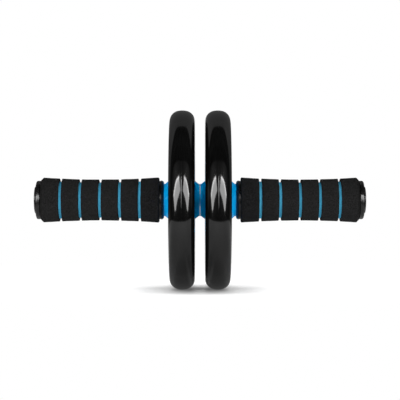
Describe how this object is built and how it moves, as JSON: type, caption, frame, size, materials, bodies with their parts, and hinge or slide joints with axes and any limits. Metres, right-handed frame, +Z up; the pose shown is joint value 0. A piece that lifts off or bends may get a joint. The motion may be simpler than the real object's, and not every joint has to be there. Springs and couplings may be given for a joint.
{
  "type": "ab wheel roller",
  "caption": "Ab wheel roller with round-treaded wheels that turn freely side by side on a steel axle between straight foam-grip handles with grooved rings and end caps.",
  "frame": {"origin": "on the floor, under the middle of the axle", "axes": "+X along the axle, to the right in the picture; +Y away from the viewer; +Z up"},
  "size_m": [0.3316, 0.18, 0.18],
  "materials": {
    "axle_steel": "bright drawn",
    "washer_steel": "zinc plated",
    "tyre_black": "smooth semi-gloss",
    "hub_blue": "glossy",
    "bush_white": "moulded",
    "core_black": "glossy",
    "foam_blue": "matt closed-cell foam",
    "foam_black": "matt closed-cell foam",
    "cap_black": "glossy"
  },
  "bodies": {
    "axle_handles": {"axle": "axle_steel", "middle_washer": "washer_steel", "left_handle_core": "core_black", "left_grip_sleeve": "foam_blue", "left_grip_ring_1": "foam_black", "left_grip_ring_2": "foam_black", "left_grip_ring_3": "foam_black", "left_grip_ring_4": "foam_black", "left_grip_ring_5": "foam_black", "left_grip_ring_6": "foam_black", "left_end_cap": "cap_black", "right_handle_core": "core_black", "right_grip_sleeve": "foam_blue", "right_grip_ring_1": "foam_black", "right_grip_ring_2": "foam_black", "right_grip_ring_3": "foam_black", "right_grip_ring_4": "foam_black", "right_grip_ring_5": "foam_black", "right_grip_ring_6": "foam_black", "right_end_cap": "cap_black"},
    "left_wheel": {"left_wheel_tyre": "tyre_black", "left_wheel_hub": "hub_blue", "left_wheel_outer_bush": "bush_white", "left_wheel_inner_bush": "bush_white"},
    "right_wheel": {"right_wheel_tyre": "tyre_black", "right_wheel_hub": "hub_blue", "right_wheel_outer_bush": "bush_white", "right_wheel_inner_bush": "bush_white"}
  },
  "joints": [
    {"name": "left_wheel_spin", "type": "hinge", "parent": "axle_handles", "child": "left_wheel", "pos_m": [-0.0178, 0, 0.09], "axis": [1, 0, 0], "continuous": true},
    {"name": "right_wheel_spin", "type": "hinge", "parent": "axle_handles", "child": "right_wheel", "pos_m": [0.0178, 0, 0.09], "axis": [1, 0, 0], "continuous": true}
  ]
}
